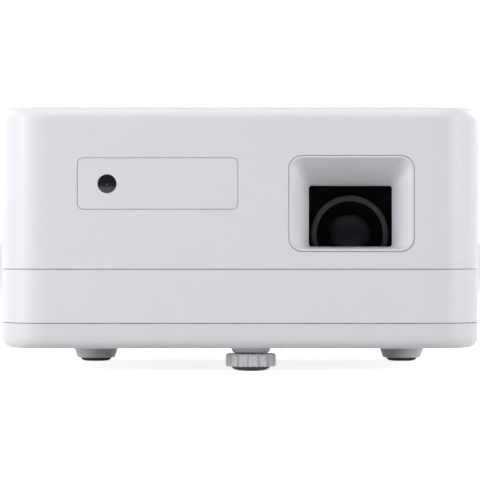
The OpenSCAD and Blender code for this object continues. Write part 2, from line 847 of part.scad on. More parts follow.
module lens_tube() color(dark_plastic) {
    on_lens_axis() rotate_extrude() polygon([
        [16.4, ring_front], [lens_ring_r - 0.5, ring_front], [lens_ring_r, ring_front + 0.5],
        [lens_ring_r, barrel_front], [tube_r, barrel_front], [tube_r, -18], [18.1, -18], [18.1, -28],
        [15, -28], [15, -45], [13.5, -45], [13.5, -53], [glass_r, -53], [glass_r, -54],
        [15.6, -57], [16.4, -58.5]]);
}

module front_lens() color(glass_blue) {
    on_lens_axis() intersection() {
        biconvex(13.45, -55, -43.5, 5);
        translate([0, 0, -53]) cylinder(r = 13.5, h = 12);
    }
    on_lens_axis() intersection() {
        biconvex(13.45, -55, -43.5, 5);
        translate([0, 0, -56]) cylinder(r = glass_r - 0.05, h = 4);
    }
}

module rear_lens() color(glass_blue) {
    on_lens_axis() biconvex(18.05, -27.9, -19, 3);
}

// ---------------------------------------------------------------- light engine

module engine_case() color(dark_plastic) {
    difference() {
        union() {
            along_y(case_y0, case_y1) translate([lens_x, lens_z]) round_rect(case_w, case_h, 3);
            for (sx = [-1, 1], y = [case_y0 + 6, case_y1 - 6])
                translate([lens_x + sx * (case_w / 2 - 4), y, pan_floor])
                    cylinder(r = 3.5, h = lens_z - case_h / 2 - pan_floor + 3);
        }
        along_y(case_y0 + case_wall, case_y1 - case_wall)
            translate([lens_x, lens_z])
                square([case_w - 2 * case_wall, case_h - 2 * case_wall], center = true);
        on_lens_axis() translate([0, 0, case_y0 - 1]) cylinder(r = 23, h = 5);
        on_lens_axis() translate([0, 0, case_y1 - 5]) cylinder(r = 17, h = 8);
    }
    // Bulkhead that holds the condenser by its edge
    along_y(39.4, 43.4) translate([lens_x, lens_z]) difference() {
        square([case_w - case_wall, case_h - case_wall], center = true);
        circle(condenser_r + 0.05);
    }
}

// Clear square plate on the light path
module light_plate(y, t, w, h) {
    along_y(y, y + t) translate([lens_x, lens_z]) square([w, h], center = true);
}

module fresnel_lenses() color(glass_blue) {
    light_plate(-4, 2, 71.8, 53.8);
    light_plate(26, 2, 71.8, 53.8);
}

module lcd_panel() color(dark_plastic) {
    difference() {
        light_plate(8, 3, 71.8, 53.8);
        light_plate(7, 2.8, 62, 38);
    }
}

module condenser_lens() color(glass_blue) {
    on_lens_axis() biconvex(condenser_r, 35, 47.8, 3);
}

module led_module() color(aluminium) {
    along_y(case_y1, case_y1 + 3) translate([lens_x, lens_z]) round_rect(44, 44, 2);
    on_lens_axis() intersection() {
        translate([0, 0, case_y1]) sphere(6, $fn = 48);
        translate([0, 0, case_y1 - 8]) cylinder(r = 8, h = 8.5);
    }
}

module heat_sink() color(aluminium) {
    base_y = case_y1 + 3;
    along_y(base_y, base_y + 4) translate([lens_x, lens_z]) square([70, 56], center = true);
    pitch = (70 - 1.2) / (fins - 1);
    for (k = [0:fins - 1]) translate([lens_x - 35 + k * pitch, base_y + 3.9, lens_z - 28])
        cube([1.2, 20, 56]);
}

// ---------------------------------------------------------------- cooling and sound

fan_x0 = 95.5;
fan_x1 = 110.5;
fan_hole = 25;
fan_shaft_r = 1.5;

module fan_frame() color(dark_plastic) {
    translate([0, grille_y, grille_z]) {
        along_x(fan_x0, fan_x1) difference() {
            round_rect(fan_size, fan_size, 4);
            circle(fan_size / 2 - 1.4);
            for (sy = [-1, 1], sz = [-1, 1]) translate([sy * fan_hole, sz * fan_hole]) circle(2.1);
        }
        along_x(fan_x0, fan_x0 + 1.6) difference() {
            union() {
                circle(12.5);
                for (k = [0:3]) rotate(45 + 90 * k) translate([0, -1.2]) square([29, 2.4]);
            }
            circle(fan_shaft_r + 0.06);
        }
    }
}

module fan_rotor() color(dark_plastic) {
    hub_r = 12.5;
    tip_r = fan_size / 2 - 2;
    translate([0, grille_y, grille_z]) {
        along_x(fan_x0 + 2.2, fan_x1 - 0.6) circle(hub_r);
        along_x(fan_x0 + 0.4, fan_x0 + 3) circle(fan_shaft_r);
        intersection() {
            along_x(fan_x0 + 2.2, fan_x1 - 0.6) circle(tip_r);
            for (k = [0:fan_blades - 1]) rotate([360 / fan_blades * k, 0, 0])
                translate([(fan_x0 + fan_x1) / 2 + 0.8, 0, hub_r - 1]) rotate([0, 0, 38])
                    translate([-0.7, -9, 0]) cube([1.4, 18, 20]);
        }
    }
}

module speaker() color(dark_plastic) {
    translate([wall + 1.5 - side_x, grille_y, grille_z]) rotate([0, 90, 0]) rotate_extrude()
        polygon([[0, 6.5], [5, 6], [17.5, 0.8], [19, 0], [21.5, 0], [21.5, 1.4], [19.5, 1.6],
                 [10, 9], [10, 12], [14, 12], [14, 20], [0, 20]]);
}

// ---------------------------------------------------------------- boards

module main_board() color(board_green) {
    translate([-91, -60, board_z]) cube([101, 143, board_t]);
    // Processor under its heat spreader, memory, power coils and capacitors
    translate([-58, -10, board_z + 1.5]) cube([32, 32, 2.1]);
    for (k = [0:7]) translate([-57 + k * 4.2, -9, board_z + 3.5]) cube([1.2, 30, 8]);
    for (x = [-18, -4], y = [-8, 8]) translate([x, y, board_z + 1.5]) cube([10, 12, 1.3]);
    for (k = [0:3]) translate([-80 + 12 * k, -50, board_z + 1.5]) cube([8, 8, 5]);
    for (k = [0:4]) translate([-80 + 11 * k, -34, board_z + 1.5]) cylinder(r = 3.2, h = 9);
}

module power_board() color(board_green) {
    base_z = 18.6;
    parts_z = base_z + board_t - 0.1;
    translate([26, -2, base_z]) cube([56, 50, board_t]);
    translate([30, 2, parts_z]) cube([20, 18, 14]);
    translate([60, 28, parts_z]) cube([14, 12, 11]);
    translate([66, 10, parts_z]) cylinder(r = 7, h = 14);
    for (k = [0:1]) translate([36 + 11 * k, 36, parts_z]) cylinder(r = 4.5, h = 12);
}

// ---------------------------------------------------------------- disc drive

// Moves a piece drawn about the spindle, pickup leaving along X, into the drive
module on_traverse() {
    translate([disc_x, 0, 0]) rotate([0, 0, sled_angle]) children();
}

module drive_chassis() color(steel) {
    length = drive_x1 - drive_x0;
    difference() {
        translate([drive_x0, -drive_half, drive_z])
            cube([length, 2 * drive_half, cover_z - drive_z]);
        translate([drive_x0 - 1, sheet - drive_half, drive_z + sheet])
            cube([length + 1 - sheet, 2 * (drive_half - sheet), 30]);
        translate([disc_x, 0, drive_z - 1]) cylinder(r = 22, h = 4);
    }
    // Bent strips that guide the telescoping rails
    for (side = [-1, 1]) translate([drive_x0 + 4, side > 0 ? 61 : -63.2, drive_z + sheet])
        cube([60, 2.2, 1.9]);
}

module drive_cover() color(steel) {
    length = drive_x1 - drive_x0;
    difference() {
        translate([drive_x0, -drive_half - 0.9, 35])
            cube([length + 0.8, 2 * drive_half + 1.8, cover_z + sheet - 35]);
        translate([drive_x0 - 1, -drive_half - 0.1, 34])
            cube([length + 1, 2 * drive_half + 0.2, cover_z - 34]);
    }
}

// Telescoping rails, C-shaped, open towards the tray
module slide_rails() color(steel) {
    for (side = [0, 1]) mirror([0, side, 0]) difference() {
        translate([drive_x0 + 3.3, 60.95, 29.9]) cube([110, 1.95, 7.4]);
        translate([drive_x0 + 2.3, 60, 30.7]) cube([112, 2.1, 5.8]);
    }
}

// Outline of the opening over the traverse: a well round the spindle and the pickup's path
module traverse_outline(grow) {
    circle(16 + grow);
    polygon([[-6, -22 - grow], [58, -22 - grow], [64 + grow, -17], [64 + grow, 17],
             [58, 24 + grow], [-6, 24 + grow]]);
}

module disc_tray() color(dark_plastic) {
    difference() {
        union() {
            translate([tray_x0, -tray_half, tray_base_z])
                cube([tray_x1 - tray_x0, 2 * tray_half, tray_rim_z - tray_base_z]);
            // Skirt behind the bezel
            translate([tray_x0, -58, 28]) cube([2.4, 116, 4]);
        }
        translate([disc_x, 0, tray_floor_z]) cylinder(r = disc_recess_d / 2, h = 5, $fn = 128);
        translate([disc_x, 0, tray_floor_z - 0.8]) cylinder(r = 40.4, h = 5, $fn = 128);
        on_traverse() along_z(tray_base_z - 5, tray_rim_z + 1) traverse_outline(0.5);
        // Room for the eject button's tail behind the bezel
        translate([tray_x0 - 1, eject_y - 8, drive_z + 1.5]) cube([5, 16, 6]);
        // Finger notches at the rim
        for (y = [-1, 1]) translate([disc_x + 40, y * 58, tray_floor_z - 1.4]) cylinder(r = 9, h = 6);
    }
}

module tray_bezel() color(shell_white) {
    difference() {
        along_x(-side_x - side_proud, tray_x0)
            translate([0, bezel_z + bezel_h / 2]) round_rect(bezel_w, bezel_h, 1.3);
        along_x(-side_x - 1, tray_x0 + 1) translate([eject_y, eject_z]) round_rect(14.6, 3.8, 1.2);
        // Pinhole that frees a stuck drawer, and the seat of the busy lamp
        along_x(-side_x - 1, tray_x0 + 1) translate([eject_y - 12, eject_z]) circle(0.7);
        along_x(-side_x - 1, 0.4 - side_x - side_proud)
            translate([eject_y + 12, eject_z]) round_rect(3.2, 1.4, 0.6);
    }
}

module eject_button() color(wheel_grey) {
    along_x(-side_x - side_proud, tray_x0 + 0.4)
        translate([eject_y, eject_z]) round_rect(14, 3.2, 1);
    translate([tray_x0 + 0.3, eject_y - 3, eject_z - 1.2]) cube([1.2, 6, 0.7]);
}

// Ear that lies against the tray's underside, with its neck towards the frame's wall
module traverse_lug(lug) {
    translate([lug[0], lug[1]]) {
        circle(lug_r);
        rotate(lug[2]) translate([0, -lug_r]) square([6, 2 * lug_r]);
    }
}

module traverse_frame() color(steel) {
    on_traverse() difference() {
        union() {
            along_z(27.4, 33.2) traverse_outline(0);
            for (lug = traverse_lugs) along_z(tray_base_z - 1.6, tray_base_z) traverse_lug(lug);
        }
        along_z(28.4, 40) difference() {
            traverse_outline(-1.2);
            // Rib between the spindle well and the pickup's bay
            translate([11.5, -30]) square([1.2, 60]);
        }
        along_z(20, 40) circle(12.2);
        along_z(20, 40) translate([15, -12]) square([47.4, 24]);
        translate([10, screw_y, rod_z]) rotate([0, 90, 0]) cylinder(r = lead_r + 0.3, h = 4);
        for (lug = traverse_lugs) translate([lug[0], lug[1], 28]) cylinder(r = 1.1, h = 4);
    }
    // Bearing for the lead screw's far end
    on_traverse() difference() {
        translate([57.8, screw_y - 1.25, 28.3]) cube([3.2, 2.6, 3.6]);
        translate([57, screw_y, rod_z]) rotate([0, 90, 0]) cylinder(r = lead_r + 0.06, h = 2.8);
    }
}

module guide_rods() color(steel) {
    on_traverse() for (side = [-1, 1]) translate([12.7, side * rod_y, rod_z])
        rotate([0, 90, 0]) cylinder(r = rod_r, h = 50.1);
}

module spindle_motor() color(steel) {
    on_traverse() difference() {
        union() {
            translate([0, 0, 27.6]) cylinder(r = 11.8, h = 1.4);
            translate([0, 0, 27.6]) cylinder(r = 9, h = 4);
            // Flange on the frame's floor, cut straight beside the rib
            along_z(28.4, 29.2) intersection() {
                circle(13.8);
                translate([-14, -14]) square([25.4, 28]);
            }
        }
        translate([0, 0, 28.1]) cylinder(r = 1.3, h = 5);
    }
}

module turntable() color(dark_plastic) {
    on_traverse() {
        difference() {
            union() {
                translate([0, 0, 32]) cylinder(r = 10.5, h = 2.6);
                translate([0, 0, 34.5]) cylinder(r = 7.4, h = 0.9);
                translate([0, 0, 35.4]) cylinder(r1 = 7.4, r2 = 6.3, h = 1);
            }
            for (k = [0:2]) rotate(k * 120) translate([5.4, 0, 34.9]) cylinder(r = 1.1, h = 3);
        }
        translate([0, 0, 28.2]) cylinder(r = 1.24, h = 4);
    }
}

module sled_motor() color(steel) {
    on_traverse() translate([-1, screw_y + 0.9, 30.8]) rotate([0, 90, 0]) difference() {
        cylinder(r = 2.4, h = 12.5);
        translate([0.2, -0.9, 10]) cylinder(r = lead_r + 0.06, h = 3);
    }
}

module lead_screw() color(steel) {
    on_traverse() translate([9.6, screw_y, rod_z]) rotate([0, 90, 0]) difference() {
        cylinder(r = lead_r, h = 50);
        for (k = [0:14]) translate([0, 0, 5 + k * 3]) tube(lead_r + 1, lead_r - 0.35, 0, 1.2);
    }
}

module pickup_sled() color(dark_plastic) {
    on_traverse() translate([sled_rest, 0, 0]) difference() {
        union() {
            translate([-7, -11, 28]) cube([14, 22, 4.4]);
            for (side = [-1, 1]) translate([-7, side * rod_y - 2.2, rod_z - 1.9]) cube([14, 4.4, 3.8]);
            for (side = [-1, 1]) translate([-5, side > 0 ? 10 : -14, rod_z - 1.4]) cube([10, 4, 2.8]);
            // Objective lens in its yoke
            translate([0, 0, 32.3]) cylinder(r = 4, h = 0.5);
            translate([0, 0, 31.2]) sphere(2.4, $fn = 32);
        }
        for (side = [-1, 1]) translate([-10, side * rod_y, rod_z]) rotate([0, 90, 0])
            cylinder(r = rod_r + 0.05, h = 20);
    }
}

// ---------------------------------------------------------------- assembly

upper_housing();
deck_band();
base_pan();
receiver_panel();
ir_window();
lens_hood();
side_grilles();
band_louvre();
rear_panel();
ac_inlet();
hdmi_sockets();
usb_sockets();
av_jacks();
control_panel();
key("power", wheel_grey);  // power_key
key("source", wheel_grey);  // source_key
key("ok", wheel_grey);  // ok_key
key("up", wheel_grey);  // up_key
key("down", wheel_grey);  // down_key
key("left", wheel_grey);  // left_key
key("right", wheel_grey);  // right_key
focus_wheel();
rear_feet();
rear_foot_pads();
front_foot_boss();
foot_wheel();
foot_screw();
foot_pad();
tripod_insert();
housing_screws();
engine_case();
led_module();
heat_sink();
condenser_lens();
fresnel_lenses();
lcd_panel();
lens_holder();
focus_ring();
lens_tube();
front_lens();
rear_lens();
fan_frame();
fan_rotor();
main_board();
power_board();
key_board();
speaker();
drive_chassis();
drive_cover();
slide_rails();
disc_tray();
tray_bezel();
eject_button();
traverse_frame();
guide_rods();
spindle_motor();
turntable();
sled_motor();
lead_screw();
pickup_sled();
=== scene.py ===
import json
import math

import bmesh
import bpy
from mathutils import Matrix, Vector


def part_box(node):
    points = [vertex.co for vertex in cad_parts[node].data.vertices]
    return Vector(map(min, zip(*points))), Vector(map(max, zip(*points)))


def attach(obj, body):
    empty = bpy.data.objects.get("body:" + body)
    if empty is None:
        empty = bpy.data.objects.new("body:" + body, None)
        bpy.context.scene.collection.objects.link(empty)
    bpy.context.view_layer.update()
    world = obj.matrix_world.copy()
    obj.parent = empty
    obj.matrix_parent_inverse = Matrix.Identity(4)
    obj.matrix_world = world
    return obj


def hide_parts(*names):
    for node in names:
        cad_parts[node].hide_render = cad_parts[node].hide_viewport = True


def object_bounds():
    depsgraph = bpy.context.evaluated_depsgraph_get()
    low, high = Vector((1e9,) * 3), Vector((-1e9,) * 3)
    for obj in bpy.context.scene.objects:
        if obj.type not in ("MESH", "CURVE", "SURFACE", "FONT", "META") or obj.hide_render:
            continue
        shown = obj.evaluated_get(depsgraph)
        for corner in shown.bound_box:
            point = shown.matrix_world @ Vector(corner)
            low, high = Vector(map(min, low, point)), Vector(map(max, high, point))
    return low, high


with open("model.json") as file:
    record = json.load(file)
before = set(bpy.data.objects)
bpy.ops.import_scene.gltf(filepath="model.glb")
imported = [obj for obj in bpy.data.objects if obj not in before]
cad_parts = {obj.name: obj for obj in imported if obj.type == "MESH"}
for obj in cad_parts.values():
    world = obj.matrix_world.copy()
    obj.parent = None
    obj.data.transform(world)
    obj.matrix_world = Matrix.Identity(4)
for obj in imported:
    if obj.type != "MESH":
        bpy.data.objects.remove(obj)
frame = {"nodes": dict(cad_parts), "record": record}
cad_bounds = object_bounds()

MM = 0.001
NODES = frame["nodes"]
SLOT_OF = {row["node"]: row["material_slot"] for row in frame["record"]["subparts"]}

# Camera: level, straight at the front face, on the middle of the casing
CAMERA_DISTANCE = 1.400
EYE_HEIGHT = 0.0639
FOCAL_MM = 217.8
SENSOR_MM = 36.0

# Studio: the lamps stand round the middle of the object and point at it
AIM = (0, 0, 0.07)
LAMP_DISTANCE = 1.7
NEAR_LAMP_DISTANCE = 1.15
AMBIENT = 0.03
FLOOR_BOUNCE = 0.55
FLOOR_GLOW = 0.80

# Colours, linear
SHELL_WHITE = (0.775, 0.785, 0.815)
PAN_WHITE = (0.740, 0.750, 0.778)
WHEEL_GREY = (0.720, 0.725, 0.745)
BOSS_GREY = (0.680, 0.690, 0.715)
KEY_GREY = (0.500, 0.510, 0.530)
BLACK = (0.022, 0.022, 0.024)
# Matt black, and darker than black plastic is: this also paints the shade on the parts deep inside the hood
MATT_BLACK_AND_SHADE = (0.004, 0.004, 0.005)
RING_BLACK = (0.026, 0.027, 0.029)
WINDOW_BLACK = (0.014, 0.014, 0.017)
RUBBER = (0.030, 0.030, 0.031)
PAD_GREY = (0.110, 0.110, 0.113)
STEEL = (0.520, 0.525, 0.535)
ALUMINIUM = (0.660, 0.665, 0.675)
BRASS = (0.720, 0.520, 0.220)
BOARD_GREEN = (0.020, 0.110, 0.045)
PRINT_GREY = (0.045, 0.047, 0.052)

# The lens tube shines as far in as this from its front, and is flat black behind it, a darker black there
# that paints the shade deep in the tube
LENS_RIM_DEPTH = 2.4 * MM


# ------------------------------------------------------------------ materials

def node_tree(name):
    """A new material, with its tree, its Principled shader and its object coordinates."""
    material = bpy.data.materials.new(name)
    material.use_nodes = True
    tree = material.node_tree
    shader = tree.nodes["Principled BSDF"]
    place = tree.nodes.new("ShaderNodeTexCoord").outputs["Object"]
    return material, tree, shader, place


def noise(tree, place, size, detail=3.0, roughness=0.55):
    """Noise whose blobs are about size metres across."""
    texture = tree.nodes.new("ShaderNodeTexNoise")
    texture.inputs["Scale"].default_value = 1.0 / size
    texture.inputs["Detail"].default_value = detail
    texture.inputs["Roughness"].default_value = roughness
    tree.links.new(place, texture.inputs["Vector"])
    return texture.outputs["Fac"]


def remap(tree, value, from_low, from_high, low, high):
    """Value, where it goes from from_low to from_high, stretched to low to high and clamped."""
    node = tree.nodes.new("ShaderNodeMapRange")
    node.inputs["From Min"].default_value = from_low
    node.inputs["From Max"].default_value = from_high
    node.inputs["To Min"].default_value = low
    node.inputs["To Max"].default_value = high
    tree.links.new(value, node.inputs["Value"])
    return node.outputs["Result"]


def span(tree, value, low, high):
    """The middle of a noise, which is where most of it lies, stretched to low to high."""
    return remap(tree, value, 0.3, 0.7, low, high)


def blended(tree, factor, first, second):
    """Colour that goes from first to second; each is a socket or an (r, g, b)."""
    mix = tree.nodes.new("ShaderNodeMix")
    mix.data_type = "RGBA"
    tree.links.new(factor, mix.inputs["Factor"])
    for socket, colour in ((mix.inputs["A"], first), (mix.inputs["B"], second)):
        if isinstance(colour, tuple):
            socket.default_value = (*colour, 1)
        else:
            tree.links.new(colour, socket)
    return mix.outputs["Result"]


def tinted(tree, value, colour, spread):
    """The colour, a little darker and lighter where value is low and high."""
    darker = tuple(c * (1 - spread) for c in colour)
    lighter = tuple(min(1.0, c * (1 + spread)) for c in colour)
    return blended(tree, value, darker, lighter)


def bump(tree, height, depth, normal=None):
    node = tree.nodes.new("ShaderNodeBump")
    node.inputs["Strength"].default_value = 1.0
    node.inputs["Distance"].default_value = depth
    tree.links.new(height, node.inputs["Height"])
    if normal is not None:
        tree.links.new(normal, node.inputs["Normal"])
    return node.outputs["Normal"]


def soft_edges(tree, radius):
    """Shading normals that round every edge off over the radius."""
    bevel = tree.nodes.new("ShaderNodeBevel")
    bevel.samples = 6
    bevel.inputs["Radius"].default_value = radius
    return bevel.outputs["Normal"]


def edge_mask(tree, rounded):
    """1 along the edges that soft_edges rounds, 0 on the faces between them."""
    surface = tree.nodes.new("ShaderNodeNewGeometry")
    agree = tree.nodes.new("ShaderNodeVectorMath")
    agree.operation = "DOT_PRODUCT"
    tree.links.new(rounded, agree.inputs[0])
    tree.links.new(surface.outputs["Normal"], agree.inputs[1])
    return remap(tree, agree.outputs["Value"], 0.99, 0.80, 0.0, 1.0)


def product(tree, first, second):
    node = tree.nodes.new("ShaderNodeMath")
    node.operation = "MULTIPLY"
    tree.links.new(first, node.inputs[0])
    tree.links.new(second, node.inputs[1])
    return node.outputs[0]


def worn(tree, place, rounded, base, rubbed, amount):
    """The base colour with its edges rubbed towards another colour, more in some places than others."""
    patches = span(tree, noise(tree, place, 6 * MM, 4.0), 0.0, amount)
    return blended(tree, product(tree, edge_mask(tree, rounded), patches), base, rubbed)


def axis_of(tree, place, axis):
    split = tree.nodes.new("ShaderNodeSeparateXYZ")
    tree.links.new(place, split.inputs[0])
    return split.outputs[axis]


def plastic(name, colour, rough=0.42, spread=0.012, grain=0.35 * MM, depth=0.006 * MM, edge=0.3 * MM,
            gloss=0.42):
    """Moulded plastic: spark-eroded grain, faint flow marks, and edges rubbed a little paler."""
    material, tree, shader, place = node_tree(name)
    flow = noise(tree, place, 28 * MM, 2.0)
    fine = noise(tree, place, grain, 2.0)
    rounded = soft_edges(tree, edge)
    pale = tuple(c + 0.25 * (0.9 - c) for c in colour)
    skin = worn(tree, place, rounded, tinted(tree, flow, colour, spread), pale, 0.22)
    tree.links.new(skin, shader.inputs["Base Color"])
    tree.links.new(span(tree, fine, rough - 0.04, rough + 0.05), shader.inputs["Roughness"])
    tree.links.new(bump(tree, fine, depth, rounded), shader.inputs["Normal"])
    shader.inputs["Specular IOR Level"].default_value = gloss
    return material


def metal(name, colour, rough=0.32, stretch=(1, 14, 1), size=1.2 * MM, edge=0.12 * MM):
    """Metal with drawn or brushed streaks across the stretched axes, brighter along its edges."""
    material, tree, shader, place = node_tree(name)
    mapping = tree.nodes.new("ShaderNodeMapping")
    mapping.inputs["Scale"].default_value = stretch
    tree.links.new(place, mapping.inputs["Vector"])
    streaks = noise(tree, mapping.outputs["Vector"], size, 4.0)
    stains = noise(tree, place, 9 * MM, 3.0)
    rounded = soft_edges(tree, edge)
    bright = tuple(min(0.95, 1.35 * c) for c in colour)
    skin = worn(tree, place, rounded, tinted(tree, stains, colour, 0.06), bright, 0.8)
    tree.links.new(skin, shader.inputs["Base Color"])
    tree.links.new(span(tree, streaks, rough - 0.08, rough + 0.1), shader.inputs["Roughness"])
    tree.links.new(bump(tree, streaks, 0.004 * MM, rounded), shader.inputs["Normal"])
    shader.inputs["Metallic"].default_value = 1.0
    return material


def rubber(name, colour):
    """Moulded rubber, dull, with pores and dust in them."""
    material, tree, shader, place = node_tree(name)
    grime = noise(tree, place, 3 * MM, 4.0)
    pores = noise(tree, place, 0.25 * MM, 2.0)
    rounded = soft_edges(tree, 0.25 * MM)
    dusty = tuple(c + 0.10 * (0.6 - c) for c in colour)
    skin = worn(tree, place, rounded, tinted(tree, grime, colour, 0.25), dusty, 0.8)
    tree.links.new(skin, shader.inputs["Base Color"])
    tree.links.new(span(tree, grime, 0.72, 0.86), shader.inputs["Roughness"])
    tree.links.new(bump(tree, pores, 0.02 * MM, rounded), shader.inputs["Normal"])
    shader.inputs["Specular IOR Level"].default_value = 0.3
    return material


def lens_tube_black(name, rim_colour, bore_colour, rim_y):
    """Black plastic, satin on the rim that stands in front of rim_y and flat where light would stray;
    behind rim_y its darker colour is painted shade deep in the tube.
    """
    material, tree, shader, place = node_tree(name)
    fine = noise(tree, place, 0.35 * MM, 2.0)
    inside = remap(tree, axis_of(tree, place, "Y"), rim_y, rim_y + 0.3 * MM, 0.0, 1.0)
    # painted shade: behind the rim the bore takes the darker colour, which stands in for the shade deep in
    # the tube
    skin = blended(tree, inside, tinted(tree, noise(tree, place, 5 * MM), rim_colour, 0.08), bore_colour)
    tree.links.new(skin, shader.inputs["Base Color"])
    tree.links.new(remap(tree, inside, 0.0, 1.0, 0.42, 0.8), shader.inputs["Roughness"])
    tree.links.new(remap(tree, inside, 0.0, 1.0, 0.3, 0.05), shader.inputs["Specular IOR Level"])
    tree.links.new(bump(tree, fine, 0.008 * MM, soft_edges(tree, 1.1 * MM)), shader.inputs["Normal"])
    return material


def smoked(name, colour):
    """Polished smoked acrylic, with a film of dust."""
    material, tree, shader, place = node_tree(name)
    haze = noise(tree, place, 1.5 * MM, 3.0)
    tree.links.new(tinted(tree, haze, colour, 0.2), shader.inputs["Base Color"])
    tree.links.new(span(tree, haze, 0.10, 0.16), shader.inputs["Roughness"])
    tree.links.new(soft_edges(tree, 0.3 * MM), shader.inputs["Normal"])
    shader.inputs["Specular IOR Level"].default_value = 0.5
    return material


def optical_glass(name):
    """Clear glass, coated so that it reflects little and bluish, with a trace of dust."""
    material, tree, shader, place = node_tree(name)
    dust = noise(tree, place, 0.6 * MM, 5.0)
    tree.links.new(tinted(tree, dust, (0.80, 0.84, 0.90), 0.03), shader.inputs["Base Color"])
    tree.links.new(span(tree, dust, 0.01, 0.05), shader.inputs["Roughness"])
    shader.inputs["Transmission Weight"].default_value = 1.0
    shader.inputs["IOR"].default_value = 1.52
    shader.inputs["Specular Tint"].default_value = (0.12, 0.13, 0.14, 1)
    return material


def circuit_board(name, colour, board_top):
    """Solder mask over copper tracks, with black packages on it and bright cans on the taller parts."""
    material, tree, shader, place = node_tree(name)
    tracks = tree.nodes.new("ShaderNodeTexBrick")
    tracks.inputs["Scale"].default_value = 1.0
    tracks.inputs["Brick Width"].default_value = 7 * MM
    tracks.inputs["Row Height"].default_value = 1.6 * MM
    tracks.inputs["Mortar Size"].default_value = 0.22 * MM
    tracks.inputs["Color1"].default_value = (*colour, 1)
    tracks.inputs["Color2"].default_value = (*[c * 0.8 for c in colour], 1)
    tracks.inputs["Mortar"].default_value = (*[c * 2.1 for c in colour], 1)
    tree.links.new(place, tracks.inputs["Vector"])
    height = axis_of(tree, place, "Z")
    above = remap(tree, height, board_top + 0.03 * MM, board_top + 0.05 * MM, 0.0, 1.0)
    tall = remap(tree, height, board_top + 2.3 * MM, board_top + 2.35 * MM, 0.0, 1.0)
    packages = blended(tree, above, tracks.outputs["Color"], (0.016, 0.016, 0.018))
    tree.links.new(blended(tree, tall, packages, (0.42, 0.43, 0.45)), shader.inputs["Base Color"])
    tree.links.new(bump(tree, tracks.outputs["Fac"], 0.03 * MM, soft_edges(tree, 0.1 * MM)),
                   shader.inputs["Normal"])
    tree.links.new(span(tree, noise(tree, place, 2 * MM), 0.28, 0.45), shader.inputs["Roughness"])
    tree.links.new(tall, shader.inputs["Metallic"])
    return material


def top_of_board(node, thickness=1.6 * MM):
    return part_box(node)[0].z + thickness


def lens_rim_y():
    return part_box("lens_tube")[0].y + LENS_RIM_DEPTH


MATERIALS = {
    "shell": plastic("shell_plastic", SHELL_WHITE),
    "hood": plastic("hood_plastic", SHELL_WHITE, edge=1.1 * MM),
    "pan": plastic("pan_plastic", PAN_WHITE),
    "wheel": plastic("wheel_plastic", WHEEL_GREY, rough=0.38),
    "boss": plastic("boss_plastic", BOSS_GREY, rough=0.45),
    "key": plastic("key_plastic", KEY_GREY, rough=0.4, edge=0.45 * MM),
    "black": plastic("black_plastic", BLACK, rough=0.5, spread=0.08, depth=0.012 * MM),
    # matt black parts deep in the hood: their very dark colour is partly painted shade
    "matt": plastic("matt_black_and_shade", MATT_BLACK_AND_SHADE, rough=0.75, spread=0.1, depth=0.012 * MM, gloss=0.08),
    "ring": lens_tube_black("lens_tube_plastic", RING_BLACK, MATT_BLACK_AND_SHADE, lens_rim_y()),
    "window": smoked("smoked_acrylic", WINDOW_BLACK),
    "rubber": rubber("foot_rubber", RUBBER),
    "pad": rubber("grey_rubber", PAD_GREY),
    "glass": optical_glass("coated_glass"),
    "steel": metal("zinc_sheet", STEEL),
    "aluminium": metal("extruded_aluminium", ALUMINIUM, stretch=(1, 1, 12)),
    "brass": metal("turned_brass", BRASS, stretch=(1, 1, 10)),
    "main_board": circuit_board("main_board_mask", BOARD_GREEN, top_of_board("main_board")),
    "power_board": circuit_board("power_board_mask", BOARD_GREEN, top_of_board("power_board")),
    "key_board": circuit_board("key_board_mask", BOARD_GREEN, top_of_board("key_board")),
    "print": plastic("key_print", PRINT_GREY, rough=0.5, spread=0.1, edge=0.05 * MM),
}

SLOT_MATERIAL = {
    "white_shell": "shell",
    "pan_grey": "pan",
    "grey_plastic": "key",
    "black_plastic": "black",
    "smoked_window": "window",
    "rubber": "rubber",
    "optical_glass": "glass",
    "sheet_steel": "steel",
    "aluminium": "aluminium",
    "brass": "brass",
}

NODE_MATERIAL = {
    "lens_hood": "hood",
    "foot_wheel": "wheel",
    "front_foot_boss": "boss",
    "foot_pad": "pad",
    "lens_tube": "ring",
    "lens_holder": "matt",
    "focus_ring": "matt",
    "engine_case": "matt",
    "lcd_panel": "matt",
    "main_board": "main_board",
    "power_board": "power_board",
    "key_board": "key_board",
}


def dress_cad_nodes():
    """Gives every carried-over node the finish of its slot, or its own."""
    for name, piece in NODES.items():
        choice = NODE_MATERIAL.get(name) or SLOT_MATERIAL[SLOT_OF[name]]
        for slot in piece.material_slots:
            slot.material = MATERIALS[choice]


# ------------------------------------------------------------------ camera, floor and light

def add_camera():
    front = cad_bounds[0][1]
    data = bpy.data.cameras.new("front_camera")
    data.lens = FOCAL_MM
    data.sensor_width = SENSOR_MM
    data.clip_end = 100
    camera = bpy.data.objects.new("front_camera", data)
    camera.location = (0, front - CAMERA_DISTANCE, EYE_HEIGHT)
    camera.rotation_euler = (math.pi / 2, 0, 0)
    bpy.context.scene.collection.objects.link(camera)
    bpy.context.scene.camera = camera


def seen_directly(tree):
    """1 for camera, glossy and transmission rays, 0 for the rays that carry light about."""
    path = tree.nodes.new("ShaderNodeLightPath")
    total = path.outputs["Is Camera Ray"]
    for kind in ("Is Glossy Ray", "Is Transmission Ray"):
        larger = tree.nodes.new("ShaderNodeMath")
        larger.operation = "MAXIMUM"
        tree.links.new(total, larger.inputs[0])
        tree.links.new(path.outputs[kind], larger.inputs[1])
        total = larger.outputs[0]
    return total


